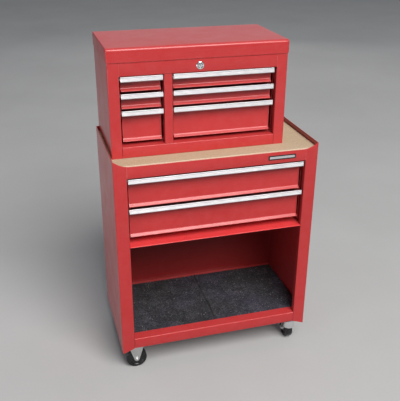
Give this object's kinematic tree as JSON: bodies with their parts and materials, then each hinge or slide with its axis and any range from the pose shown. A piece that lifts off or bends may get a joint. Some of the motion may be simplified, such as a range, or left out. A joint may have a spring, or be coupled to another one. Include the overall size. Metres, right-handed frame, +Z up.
{
  "type": "rolling tool chest",
  "caption": "Sheet-steel tool storage on casters: a lidded chest of shallow and deep drawers stands in the tray of a wider roller cabinet with full-width drawers over an open compartment.",
  "frame": {"origin": "on the floor under the middle of the bounding box", "axes": "+Z up, drawers open towards -Y, +X to the right seen from the front"},
  "size_m": [0.673, 0.3595, 1.115],
  "materials": {
    "black_plastic": "matt",
    "chrome": "polished",
    "mat_felt": "felted floor mat",
    "painted_inner": "thin red enamel",
    "painted_red": "glossy red enamel, scuffed",
    "pressed_board": "raw pressed board",
    "pull_aluminium": "bright extruded",
    "steel": "bare",
    "zinc_plate": "zinc plated"
  },
  "bodies": {
    "cabinet": {"cabinet_shell": "painted_red", "cabinet_top_rail": "painted_red", "cabinet_top_pan": "painted_inner", "cabinet_top_board": "pressed_board", "cabinet_divider_pan": "painted_red", "cabinet_floor_pan": "painted_red", "cabinet_mat_left": "mat_felt", "cabinet_mat_right": "mat_felt", "base_channel_left": "painted_inner", "base_channel_right": "painted_inner", "cabinet_slide_left": "painted_inner", "cabinet_slide_right": "painted_inner", "name_plate": "black_plastic", "rigid_fork_front_left": "zinc_plate", "rigid_fork_rear_left": "zinc_plate", "axle_front_left": "zinc_plate", "axle_rear_left": "zinc_plate", "swivel_plate_front_right": "zinc_plate", "swivel_plate_rear_right": "zinc_plate"},
    "wheel_front_left": {"wheel_front_left": "black_plastic"},
    "wheel_rear_left": {"wheel_rear_left": "black_plastic"},
    "swivel_front_right": {"swivel_fork_front_right": "chrome", "axle_front_right": "zinc_plate"},
    "wheel_front_right": {"wheel_front_right": "black_plastic"},
    "swivel_rear_right": {"swivel_fork_rear_right": "chrome", "axle_rear_right": "zinc_plate"},
    "wheel_rear_right": {"wheel_rear_right": "black_plastic"},
    "chest": {"chest_shell": "painted_red", "chest_top_rail": "painted_red", "chest_bottom_rail": "painted_red", "chest_centre_stile": "painted_red", "chest_divider": "painted_inner", "chest_bottom_pan": "painted_inner", "chest_till_floor": "painted_inner", "chest_slide_left": "painted_inner", "chest_slide_right": "painted_inner", "hinge_leaf_body": "zinc_plate", "hinge_pin": "steel", "lock_housing": "chrome"},
    "lid": {"lid": "painted_red", "hinge_leaf_lid": "zinc_plate", "lid_catch": "zinc_plate"},
    "lock": {"lock_plug": "chrome", "lock_cam": "zinc_plate"},
    "cabinet_drawer_upper": {"cabinet_drawer_upper": "painted_red", "cabinet_drawer_upper_pull": "pull_aluminium"},
    "cabinet_drawer_lower": {"cabinet_drawer_lower": "painted_red", "cabinet_drawer_lower_pull": "pull_aluminium"},
    "chest_drawer_left_top": {"chest_drawer_left_top": "painted_red", "chest_drawer_left_top_pull": "pull_aluminium"},
    "chest_drawer_left_middle": {"chest_drawer_left_middle": "painted_red", "chest_drawer_left_middle_pull": "pull_aluminium"},
    "chest_drawer_left_deep": {"chest_drawer_left_deep": "painted_red", "chest_drawer_left_deep_pull": "pull_aluminium"},
    "chest_drawer_right_top": {"chest_drawer_right_top": "painted_red", "chest_drawer_right_top_pull": "pull_aluminium"},
    "chest_drawer_right_middle": {"chest_drawer_right_middle": "painted_red", "chest_drawer_right_middle_pull": "pull_aluminium"},
    "chest_drawer_right_deep": {"chest_drawer_right_deep": "painted_red", "chest_drawer_right_deep_pull": "pull_aluminium"}
  },
  "joints": [
    {"name": "chest_lift", "type": "slide", "parent": "cabinet", "child": "chest", "axis": [0, 0, 1], "range_m": [0, 0.12]},
    {"name": "lid_hinge", "type": "hinge", "parent": "chest", "child": "lid", "pos_m": [-0.0445, 0.1746, 1.101], "axis": [-1, 0, 0], "range_deg": [0, 95]},
    {"name": "lock_turn", "type": "hinge", "parent": "chest", "child": "lock", "pos_m": [-0.0455, -0.111, 1.052], "axis": [0, 1, 0], "range_deg": [0, 90]},
    {"name": "cabinet_drawer_upper_slide", "type": "slide", "parent": "cabinet", "child": "cabinet_drawer_upper", "axis": [0, -1, 0], "range_m": [0, 0.27]},
    {"name": "cabinet_drawer_lower_slide", "type": "slide", "parent": "cabinet", "child": "cabinet_drawer_lower", "axis": [0, -1, 0], "range_m": [0, 0.27]},
    {"name": "chest_drawer_left_top_slide", "type": "slide", "parent": "chest", "child": "chest_drawer_left_top", "axis": [0, -1, 0], "range_m": [0, 0.2]},
    {"name": "chest_drawer_left_middle_slide", "type": "slide", "parent": "chest", "child": "chest_drawer_left_middle", "axis": [0, -1, 0], "range_m": [0, 0.2]},
    {"name": "chest_drawer_left_deep_slide", "type": "slide", "parent": "chest", "child": "chest_drawer_left_deep", "axis": [0, -1, 0], "range_m": [0, 0.2]},
    {"name": "chest_drawer_right_top_slide", "type": "slide", "parent": "chest", "child": "chest_drawer_right_top", "axis": [0, -1, 0], "range_m": [0, 0.2]},
    {"name": "chest_drawer_right_middle_slide", "type": "slide", "parent": "chest", "child": "chest_drawer_right_middle", "axis": [0, -1, 0], "range_m": [0, 0.2]},
    {"name": "chest_drawer_right_deep_slide", "type": "slide", "parent": "chest", "child": "chest_drawer_right_deep", "axis": [0, -1, 0], "range_m": [0, 0.2]},
    {"name": "wheel_front_left_spin", "type": "hinge", "parent": "cabinet", "child": "wheel_front_left", "pos_m": [-0.286, -0.142, 0.0365], "axis": [0, 1, 0], "continuous": true},
    {"name": "wheel_rear_left_spin", "type": "hinge", "parent": "cabinet", "child": "wheel_rear_left", "pos_m": [-0.286, 0.142, 0.0365], "axis": [0, 1, 0], "continuous": true},
    {"name": "swivel_front_right_turn", "type": "hinge", "parent": "cabinet", "child": "swivel_front_right", "pos_m": [0.295, -0.145, 0.091], "axis": [0, 0, 1], "continuous": true},
    {"name": "wheel_front_right_spin", "type": "hinge", "parent": "swivel_front_right", "child": "wheel_front_right", "pos_m": [0.295, -0.123, 0.0365], "axis": [1, 0, 0], "continuous": true},
    {"name": "swivel_rear_right_turn", "type": "hinge", "parent": "cabinet", "child": "swivel_rear_right", "pos_m": [0.295, 0.137, 0.091], "axis": [0, 0, 1], "continuous": true},
    {"name": "wheel_rear_right_spin", "type": "hinge", "parent": "swivel_rear_right", "child": "wheel_rear_right", "pos_m": [0.27433, 0.14452, 0.0365], "axis": [0.342, 0.9397, 0], "continuous": true}
  ]
}
